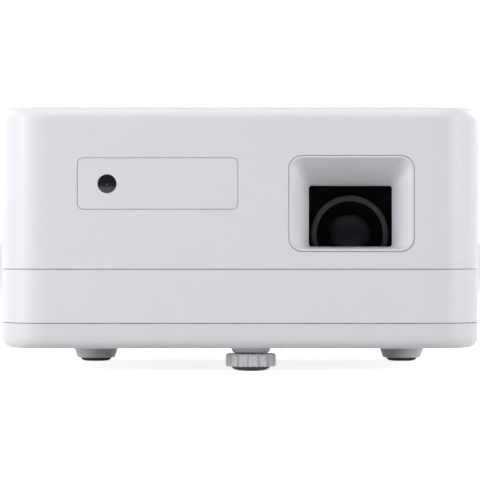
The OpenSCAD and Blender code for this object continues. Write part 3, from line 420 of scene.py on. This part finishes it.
def add_world():
    world = bpy.data.worlds.new("studio")
    world.use_nodes = True
    tree = world.node_tree
    ambient = tree.nodes["Background"]
    ambient.inputs["Color"].default_value = (1, 1, 1, 1)
    ambient.inputs["Strength"].default_value = AMBIENT
    backdrop = tree.nodes.new("ShaderNodeBackground")
    backdrop.inputs["Color"].default_value = (1, 1, 1, 1)
    backdrop.inputs["Strength"].default_value = 1.0
    mix = tree.nodes.new("ShaderNodeMixShader")
    tree.links.new(seen_directly(tree), mix.inputs[0])
    tree.links.new(ambient.outputs[0], mix.inputs[1])
    tree.links.new(backdrop.outputs[0], mix.inputs[2])
    tree.links.new(mix.outputs[0], tree.nodes["World Output"].inputs["Surface"])
    bpy.context.scene.world = world


def add_floor():
    size = 40.0
    mesh = bpy.data.meshes.new("floor")
    corners = [(-size, -size, 0), (size, -size, 0), (size, size, 0), (-size, size, 0)]
    mesh.from_pydata(corners, [], [(0, 1, 2, 3)])
    floor = bpy.data.objects.new("floor", mesh)
    bpy.context.scene.collection.objects.link(floor)
    material, tree, shader, place = node_tree("floor_paper")
    paper = tinted(tree, noise(tree, place, 0.02), (FLOOR_BOUNCE, FLOOR_BOUNCE, FLOOR_BOUNCE), 0.01)
    tree.links.new(paper, shader.inputs["Base Color"])
    shader.inputs["Roughness"].default_value = 0.9
    shader.inputs["Specular IOR Level"].default_value = 0.1
    bright = tree.nodes.new("ShaderNodeBsdfDiffuse")
    bright.inputs["Color"].default_value = (1, 1, 1, 1)
    lift = tree.nodes.new("ShaderNodeEmission")
    lift.inputs["Strength"].default_value = FLOOR_GLOW
    both = tree.nodes.new("ShaderNodeAddShader")
    tree.links.new(bright.outputs[0], both.inputs[0])
    tree.links.new(lift.outputs[0], both.inputs[1])
    mix = tree.nodes.new("ShaderNodeMixShader")
    tree.links.new(seen_directly(tree), mix.inputs[0])
    tree.links.new(shader.outputs[0], mix.inputs[1])
    tree.links.new(both.outputs[0], mix.inputs[2])
    tree.links.new(mix.outputs[0], tree.nodes["Material Output"].inputs["Surface"])
    mesh.materials.append(material)


def add_dark_card():
    """Dark card behind the camera, as in a photographer's room: it keeps the lens dark."""
    half_width, height, distance = 2.2, 0.75, 2.3
    mesh = bpy.data.meshes.new("dark_card")
    corners = [(-half_width, -distance, 0.002), (half_width, -distance, 0.002),
               (half_width, -distance, height), (-half_width, -distance, height)]
    mesh.from_pydata(corners, [], [(0, 1, 2, 3)])
    card = bpy.data.objects.new("dark_card", mesh)
    bpy.context.scene.collection.objects.link(card)
    material, tree, shader, place = node_tree("card_black")
    tree.links.new(tinted(tree, noise(tree, place, 0.01), BLACK, 0.1), shader.inputs["Base Color"])
    shader.inputs["Roughness"].default_value = 0.9
    shader.inputs["Specular IOR Level"].default_value = 0.1
    mesh.materials.append(material)
    card.visible_camera = False


def add_softbox(name, azimuth, elevation, distance, width, height, power):
    """Rectangular lamp; azimuth 0 is in front of the object and 90 is on its right."""
    around, up = math.radians(azimuth), math.radians(elevation)
    outward = Vector((math.cos(up) * math.sin(around), -math.cos(up) * math.cos(around), math.sin(up)))
    data = bpy.data.lights.new(name, "AREA")
    data.shape = "RECTANGLE"
    data.size = width
    data.size_y = height
    data.energy = power
    lamp = bpy.data.objects.new(name, data)
    lamp.location = Vector(AIM) + distance * outward
    lamp.rotation_euler = outward.to_track_quat("Z", "Y").to_euler()
    lamp.visible_camera = False
    bpy.context.scene.collection.objects.link(lamp)


def add_lights():
    add_softbox("near_left_softbox", -60, 14, NEAR_LAMP_DISTANCE, 0.5, 0.6, 3.8)
    add_softbox("left_softbox", -66, 10, LAMP_DISTANCE, 0.8, 1.0, 12.6)
    add_softbox("right_softbox", 64, 10, LAMP_DISTANCE, 0.8, 1.0, 16.8)
    add_softbox("front_softbox", 0, 28, LAMP_DISTANCE, 0.9, 0.40, 1.7)
    add_softbox("top_softbox", 0, 80, LAMP_DISTANCE, 1.2, 1.2, 14.2)
    add_softbox("rear_left_softbox", -135, 20, LAMP_DISTANCE, 0.9, 0.9, 7)
    add_softbox("rear_right_softbox", 135, 20, LAMP_DISTANCE, 0.9, 0.9, 7)


# ------------------------------------------------------------------ mesh helpers

def mesh_from(bm, name="piece"):
    bmesh.ops.recalc_face_normals(bm, faces=bm.faces)
    mesh = bpy.data.meshes.new(name)
    bm.to_mesh(mesh)
    bm.free()
    return mesh


def circle_points(radius, segments, start=0.0, sweep=2 * math.pi):
    """Points on an arc about the origin; a full circle leaves its last point out."""
    steps = segments if sweep >= 2 * math.pi else segments - 1
    return [(radius * math.cos(start + sweep * k / steps), radius * math.sin(start + sweep * k / steps))
            for k in range(segments)]


def turned(profile, segments=48, closed=False):
    """Surface of revolution about Z through (radius, height) points; closed joins the last to the first."""
    bm = bmesh.new()
    rings = []
    for radius, height in profile:
        if radius <= 0:
            rings.append([bm.verts.new((0, 0, height))])
        else:
            rings.append([bm.verts.new((x, y, height)) for x, y in circle_points(radius, segments)])
    pairs = list(zip(rings, rings[1:]))
    if closed:
        pairs.append((rings[-1], rings[0]))
    for lower, upper in pairs:
        for k in range(segments):
            k2 = (k + 1) % segments
            corners = [lower[k % len(lower)], lower[k2 % len(lower)],
                       upper[k2 % len(upper)], upper[k % len(upper)]]
            unique = list(dict.fromkeys(corners))
            if len(unique) > 2:
                bm.faces.new(unique)
    return mesh_from(bm, "turned")


def prism(outline, z0, z1):
    """Upright prism over a closed outline of (x, y) points."""
    bm = bmesh.new()
    lower = [bm.verts.new((x, y, z0)) for x, y in outline]
    upper = [bm.verts.new((x, y, z1)) for x, y in outline]
    bm.faces.new(list(reversed(lower)))
    bm.faces.new(upper)
    for k in range(len(outline)):
        k2 = (k + 1) % len(outline)
        bm.faces.new((lower[k], lower[k2], upper[k2], upper[k]))
    return mesh_from(bm, "prism")


def bar(x0, y0, x1, y1):
    """Corners of an upright rectangle, for prism."""
    return [(x0, y0), (x1, y0), (x1, y1), (x0, y1)]


def ring(outer, inner, z0, z1, segments=48, chamfer=0.0):
    """Flat ring, its outer top edge cut back by the chamfer."""
    profile = [(inner, z0), (outer, z0), (outer, z1 - chamfer), (outer - chamfer, z1), (inner, z1)]
    return turned(list(dict.fromkeys(profile)), segments, closed=True)


def ball(radius, segments=20):
    half = [(radius * math.sin(math.pi * k / 10), -radius * math.cos(math.pi * k / 10)) for k in range(11)]
    return turned([(max(0.0, r) if 0 < k < 10 else 0.0, z) for k, (r, z) in enumerate(half)], segments)


def moved(mesh, x=0.0, y=0.0, z=0.0):
    mesh.transform(Matrix.Translation((x, y, z)))
    return mesh


def joined(meshes):
    bm = bmesh.new()
    for mesh in meshes:
        bm.from_mesh(mesh)
        bpy.data.meshes.remove(mesh)
    return mesh_from(bm, "joined")


def carved(mesh, tool):
    """The mesh with the tool's shape cut out of it."""
    target = bpy.data.objects.new("carved", mesh)
    cutter = bpy.data.objects.new("cutter", tool)
    for piece in (target, cutter):
        bpy.context.scene.collection.objects.link(piece)
    cut = target.modifiers.new("cut", "BOOLEAN")
    cut.operation = "DIFFERENCE"
    cut.solver = "EXACT"
    cut.object = cutter
    bpy.context.view_layer.update()
    result = bpy.data.meshes.new_from_object(target.evaluated_get(bpy.context.evaluated_depsgraph_get()))
    bpy.data.objects.remove(target)
    bpy.data.objects.remove(cutter)
    return result


def thread(core, crest, pitch, z0, z1, segments=36, steps=8):
    """Threaded rod from z0 to z1, its thread running out at both ends."""
    bm = bmesh.new()
    count = int((z1 - z0) / pitch * steps)
    rings = []
    for row in range(count + 1):
        z = z0 + (z1 - z0) * row / count
        run_out = min(1.0, (z1 - z) / pitch, (z - z0) / pitch)
        ring_points = []
        for k in range(segments):
            phase = ((z - z0) / pitch - k / segments) % 1.0
            ridge = min(1.0, max(0.0, 1.5 * (1 - abs(2 * phase - 1)) - 0.25))
            radius = core + (crest - core) * ridge * run_out
            angle = 2 * math.pi * k / segments
            ring_points.append(bm.verts.new((radius * math.cos(angle), radius * math.sin(angle), z)))
        rings.append(ring_points)
    for lower, upper in zip(rings, rings[1:]):
        for k in range(segments):
            k2 = (k + 1) % segments
            bm.faces.new((lower[k], lower[k2], upper[k2], upper[k]))
    bm.faces.new(list(reversed(rings[0])))
    bm.faces.new(rings[-1])
    return mesh_from(bm, "thread")


def add_piece(name, mesh, body, material, smooth=False, bevel=0.0):
    """Links a mesh as a piece of the object that rides on a body; bevel rounds its sharp edges."""
    for face in mesh.polygons:
        face.use_smooth = smooth
    mesh.materials.clear()
    mesh.materials.append(MATERIALS[material])
    piece = bpy.data.objects.new(name, mesh)
    bpy.context.scene.collection.objects.link(piece)
    if bevel > 0:
        rounding = piece.modifiers.new("rounding", "BEVEL")
        rounding.width = bevel
        rounding.segments = 2
        rounding.limit_method = "ANGLE"
    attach(piece, body)
    return piece


def middle_of(node):
    low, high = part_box(node)
    return (low + high) / 2


# ------------------------------------------------------------------ fasteners

def add_foot_thread():
    """The front foot's screw with its cut thread, in place of the plain rod."""
    low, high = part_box("foot_screw")
    centre = middle_of("foot_screw")
    mesh = moved(thread(2.55 * MM, 3.0 * MM, 1.0 * MM, low.z, high.z), centre.x, centre.y)
    piece = add_piece("foot_screw_thread", mesh, "foot_wheel", "steel", smooth=True)
    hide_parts("foot_screw")


def cross_head(radius, height, recess):
    """Pan head seen from below, its top at height, with a cross recess in its underside."""
    drop = height * 0.28
    dome = [(0, 0), (0.45 * radius, 0.03 * height), (0.82 * radius, 0.15 * height), (radius, drop)]
    head = turned(dome + [(radius, height), (0, height)], 40)
    arm, width = 0.62 * radius, 0.17 * radius
    cross = [(-width, -arm), (width, -arm), (width, -width), (arm, -width), (arm, width), (width, width),
             (width, arm), (-width, arm), (-width, width), (-arm, width), (-arm, -width), (-width, -width)]
    return carved(head, prism(cross, -0.1 * height, recess))


def add_housing_screws():
    """Four self-tapping screws under the casing, in place of the plain ones."""
    low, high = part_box("housing_screws")
    head_r, shank_r, head_h = 2.8 * MM, 1.4 * MM, 2.1 * MM
    inset = head_r
    screws = []
    for x in (low.x + inset, high.x - inset):
        for y in (low.y + inset, high.y - inset):
            screws.append(moved(cross_head(head_r, head_h, 1.2 * MM), x, y, low.z))
            shank = thread(1.0 * MM, shank_r, 1.25 * MM, low.z + head_h - 0.1 * MM, high.z, 20, 6)
            screws.append(moved(shank, x, y))
    piece = add_piece("casing_screws", joined(screws), "casing", "steel")
    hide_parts("housing_screws")


def add_insert_thread():
    """Turns of thread inside the tripod insert: one closed ridge that climbs round its bore."""
    low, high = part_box("tripod_insert")
    wall_r, crest_r, pitch = 2.62 * MM, 2.35 * MM, 1.27 * MM
    z0, z1 = low.z + 1.2 * MM, high.z - 0.8 * MM
    per_turn = 32
    count = int((z1 - z0) / pitch * per_turn)
    bm = bmesh.new()
    rows = []
    for k in range(count + 1):
        angle = 2 * math.pi * k / per_turn
        z = z0 + pitch * k / per_turn
        fade = min(1.0, k / 12, (count - k) / 12)
        crest = wall_r - (wall_r - crest_r) * max(0.03, fade)
        section = ((wall_r, z - 0.3 * pitch), (crest, z), (wall_r, z + 0.3 * pitch))
        rows.append([bm.verts.new((r * math.cos(angle), r * math.sin(angle), h)) for r, h in section])
    for lower, upper in zip(rows, rows[1:]):
        for k in range(3):
            k2 = (k + 1) % 3
            bm.faces.new((lower[k], lower[k2], upper[k2], upper[k]))
    bm.faces.new(rows[0])
    bm.faces.new(list(reversed(rows[-1])))
    add_piece("insert_thread", mesh_from(bm), "casing", "brass", smooth=True)


# ------------------------------------------------------------------ marks on the keys

MARK_PROUD = 0.04 * MM
MARK_LINE = 0.45 * MM


def key_mark(name, body, outlines):
    """A print on a key's top, from outlines drawn about the key's middle."""
    centre = middle_of(body)
    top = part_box(body)[1].z
    prints = [moved(prism(outline, top - MARK_PROUD, top + MARK_PROUD), centre.x, centre.y)
              for outline in outlines]
    add_piece(name, joined(prints), body, "print")


def arc_band(radius, width, start, sweep, segments=28):
    """Outline of a band along an arc."""
    outer = circle_points(radius + width / 2, segments, start, sweep)
    inner = circle_points(radius - width / 2, segments, start, sweep)
    return outer + list(reversed(inner))


def standby_sign():
    """An open ring with an upright bar in its gap."""
    radius, gap = 2.1 * MM, math.radians(34)
    opened = arc_band(radius, MARK_LINE, math.pi / 2 + gap, 2 * math.pi - 2 * gap)
    return [opened, bar(-MARK_LINE / 2, 0.4 * MM, MARK_LINE / 2, 2.8 * MM)]


def source_sign():
    """An arrow that enters a frame through the gap in its left side."""
    line = MARK_LINE
    w, h, gap = 2.3 * MM, 1.6 * MM, 0.7 * MM
    frame_bars = [bar(-w, -h, w, line - h), bar(-w, h - line, w, h), bar(w - line, line - h, w, h - line),
                  bar(-w, line - h, line - w, -gap), bar(-w, gap, line - w, h - line)]
    tail, neck, tip, barb = -3.2 * MM, -0.4 * MM, 0.9 * MM, 0.9 * MM
    arrow = [(tail, -line / 2), (neck, -line / 2), (neck, -barb), (tip, 0), (neck, barb), (neck, line / 2),
             (tail, line / 2)]
    return frame_bars + [arrow]


def triangle(angle):
    """A triangle that points at the angle, in degrees."""
    turn = math.radians(angle)
    tip, back, half = 1.1 * MM, -0.7 * MM, 1.2 * MM
    return [(x * math.cos(turn) - y * math.sin(turn), x * math.sin(turn) + y * math.cos(turn))
            for x, y in ((tip, 0), (back, half), (back, -half))]


def add_key_marks():
    """The common standby sign, a plain source sign, a dot and four arrows."""
    key_mark("power_mark", "power_key", standby_sign())
    key_mark("source_mark", "source_key", source_sign())
    key_mark("ok_mark", "ok_key", [circle_points(0.8 * MM, 24)])
    for name, angle in (("right", 0), ("up", 90), ("left", 180), ("down", 270)):
        key_mark(name + "_mark", name + "_key", [triangle(angle)])


# ------------------------------------------------------------------ sockets

# Middles of the tongues, and half their widths and heights
HDMI_X = (-72 * MM, -52 * MM)
HDMI_Z = 62 * MM
HDMI_HALF = (5.6 * MM, 0.6 * MM)
USB_X = (-30 * MM, -12 * MM)
USB_Z = 63 * MM
USB_HALF = (4.9 * MM, 1.0 * MM)
TONGUE_TIP_DEPTH = 1.7 * MM
TONGUE_ROOT_DEPTH = 12 * MM
CONTACT_PROUD = 0.02 * MM

JACK_Z = 75 * MM
JACK_INSET = 5 * MM

PIN_R = 1.25 * MM
PIN_X = 4.3 * MM
PIN_TIP_DEPTH = 2.6 * MM
PIN_LENGTH = 11 * MM


def along_y(mesh):
    """Turns a mesh drawn along Z so that it points to the rear, +Y."""
    mesh.transform(Matrix.Rotation(-math.pi / 2, 4, "X"))
    return mesh


def contact_row(x, y0, y1, z, count, pitch, width):
    """A row of flat contacts on the tongue of a socket."""
    first = x - pitch * (count - 1) / 2
    return [prism(bar(first + k * pitch - width / 2, y0, first + k * pitch + width / 2, y1),
                  z - 0.05 * MM, z + 0.05 * MM) for k in range(count)]


def tongue(x, z, half, root, tip):
    half_width, half_height = half
    return prism(bar(x - half_width, root, x + half_width, tip), z - half_height, z + half_height)


def add_socket_tongues():
    """Black tongues with gilt contacts over the plain ones in the sockets."""
    tongues, contacts = [], []
    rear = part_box("hdmi_sockets")[1].y
    tip, root = rear - TONGUE_TIP_DEPTH, rear - TONGUE_ROOT_DEPTH
    for x in HDMI_X:
        tongues.append(tongue(x, HDMI_Z, HDMI_HALF, root, tip))
        for side, count in ((1, 10), (-1, 9)):
            z = HDMI_Z + side * (HDMI_HALF[1] + CONTACT_PROUD)
            contacts += contact_row(x, root, tip - 0.3 * MM, z, count, 1.0 * MM, 0.45 * MM)
    for x in USB_X:
        tongues.append(tongue(x, USB_Z, USB_HALF, root, tip))
        z = USB_Z - USB_HALF[1] - CONTACT_PROUD
        contacts += contact_row(x, root, tip - 0.5 * MM, z, 4, 2.3 * MM, 1.0 * MM)
    add_piece("socket_tongues", joined(tongues), "casing", "black", bevel=0.12 * MM)
    add_piece("socket_contacts", joined(contacts), "casing", "brass")


def add_jack_bushes():
    """Bright bushes round the mouths of the two round jacks."""
    low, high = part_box("av_jacks")
    bushes = []
    for x in (low.x + JACK_INSET, high.x - JACK_INSET):
        bush = along_y(ring(3.0 * MM, 1.85 * MM, 0, 0.5 * MM, 40, 0.2 * MM))
        bushes.append(moved(bush, x, high.y - 0.4 * MM, JACK_Z))
    add_piece("jack_bushes", joined(bushes), "casing", "brass")


def add_mains_pins():
    """Round-nosed metal pins over the plain ones in the mains socket."""
    centre = middle_of("ac_inlet")
    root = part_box("ac_inlet")[1].y - PIN_TIP_DEPTH - PIN_LENGTH
    nose = [(PIN_R * math.cos(a), PIN_LENGTH - PIN_R + PIN_R * math.sin(a))
            for a in (math.pi / 2 * k / 6 for k in range(6))]
    pins = []
    for side in (-1, 1):
        pin = along_y(turned([(0, 0), (PIN_R, 0)] + nose + [(0, PIN_LENGTH)], 24))
        pins.append(moved(pin, centre.x + side * PIN_X, root, centre.z))
    add_piece("mains_pins", joined(pins), "casing", "steel", smooth=True)


# ------------------------------------------------------------------ disc mechanism

# Places are about the spindle, along and across the pickup's way; heights are the drive's own
SLED_ANGLE = math.radians(225)
LUGS = ((30 * MM, 28.5 * MM), (40 * MM, -26.5 * MM), (-20.5 * MM, 0))
LUG_UNDERSIDE = 29.4 * MM
SLED_REST = 24 * MM
SLED_TOP = 32.4 * MM
OBJECTIVE_R = 2.45 * MM
OBJECTIVE_Z = 31.2 * MM
HUB_BALL_R = 0.98 * MM
HUB_BALL_CIRCLE = 5.4 * MM
BUTTON_HALF = 7 * MM
LAMP_FROM_BUTTON = 12 * MM


def on_traverse(mesh):
    """From coordinates about the spindle, the pickup leaving along X, to the place in the drive."""
    spindle = middle_of("turntable")
    mesh.transform(Matrix.Translation((spindle.x, spindle.y, 0)) @ Matrix.Rotation(SLED_ANGLE, 4, "Z"))
    return mesh


def add_traverse_screws():
    """Rubber dampers and cross-head screws at the three ears that carry the traverse."""
    dampers = [moved(ring(3.1 * MM, 1.0 * MM, LUG_UNDERSIDE - 0.5 * MM, LUG_UNDERSIDE, 32), x, y)
               for x, y in LUGS]
    heads = [moved(cross_head(2.0 * MM, 0.9 * MM, 0.5 * MM), x, y, LUG_UNDERSIDE - 1.4 * MM)
             for x, y in LUGS]
    add_piece("traverse_dampers", on_traverse(joined(dampers)), "tray", "rubber")
    add_piece("traverse_screws", on_traverse(joined(heads)), "tray", "steel")


def add_bay_cover():
    """Thin black cover that closes the frame's floor under the pickup, with a pressed panel in it."""
    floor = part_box("traverse_frame")[0].z
    plate = prism(bar(14.6 * MM, -12.4 * MM, 62.8 * MM, 12.4 * MM), floor + 0.05 * MM, floor + 0.35 * MM)
    panel = prism(bar(18 * MM, -9 * MM, 59.5 * MM, 9 * MM), floor + 0.2 * MM, floor + 0.6 * MM)
    add_piece("bay_cover", on_traverse(carved(plate, panel)), "tray", "black")


def add_hub_details():
    """The turntable's grip ring and the three balls that hold a disc on its hub."""
    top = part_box("turntable")[1].z
    seat = top - 1.8 * MM
    grip = ring(10.3 * MM, 7.7 * MM, seat - 0.02 * MM, seat + 0.14 * MM, 56, 0.05 * MM)
    add_piece("turntable_grip", on_traverse(grip), "turntable", "rubber")
    balls = [moved(ball(HUB_BALL_R), x, y, top - 0.72 * MM) for x, y in circle_points(HUB_BALL_CIRCLE, 3)]
    add_piece("turntable_balls", on_traverse(joined(balls)), "turntable", "steel", smooth=True)


def add_pickup_details():
    """The objective's glass, and the sheet cover round it."""
    dome = [(OBJECTIVE_R * math.cos(a), OBJECTIVE_Z + OBJECTIVE_R * math.sin(a))
            for a in (math.radians(38 + 52 * k / 6) for k in range(6))]
    glass = turned([(0, dome[0][1])] + dome + [(0, OBJECTIVE_Z + OBJECTIVE_R)], 32)
    add_piece("objective_glass", on_traverse(moved(glass, SLED_REST)), "pickup_sled",
              "glass", smooth=True)
    half_x, half_y, hole_r = 6.6 * MM, 10.6 * MM, 4.5 * MM
    sheet = prism(bar(-half_x, -half_y, half_x, half_y), SLED_TOP - 0.02 * MM, SLED_TOP + 0.25 * MM)
    low, high = SLED_TOP - MM, SLED_TOP + MM
    cover = carved(sheet, turned([(0, low), (hole_r, low), (hole_r, high), (0, high)], 40))
    add_piece("pickup_cover", on_traverse(moved(cover, SLED_REST)), "pickup_sled", "steel")


def add_busy_lamp():
    """Smoked lens of the drive's lamp, in its seat on the bezel."""
    button = middle_of("eject_button")
    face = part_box("tray_bezel")[0].x
    end_r, end_x = 0.6 * MM, 0.85 * MM
    outline = [(x - end_x, y) for x, y in circle_points(end_r, 12, math.pi / 2, math.pi)]
    outline += [(x + end_x, y) for x, y in circle_points(end_r, 12, -math.pi / 2, math.pi)]
    lamp = prism(outline, 0, 0.32 * MM)
    lamp.transform(Matrix.Rotation(math.pi / 2, 4, "Z") @ Matrix.Rotation(math.pi / 2, 4, "X"))
    centre_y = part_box("eject_button")[0].y + BUTTON_HALF + LAMP_FROM_BUTTON
    lamp = moved(lamp, face + 0.05 * MM, centre_y, button.z)
    add_piece("busy_lamp", lamp, "tray", "window", bevel=0.05 * MM)


dress_cad_nodes()
add_camera()
add_world()
add_floor()
add_dark_card()
add_lights()
add_foot_thread()
add_housing_screws()
add_insert_thread()
add_key_marks()
add_socket_tongues()
add_jack_bushes()
add_mains_pins()
add_traverse_screws()
add_bay_cover()
add_hub_details()
add_pickup_details()
add_busy_lamp()

bpy.context.scene.view_settings.view_transform = "Standard"
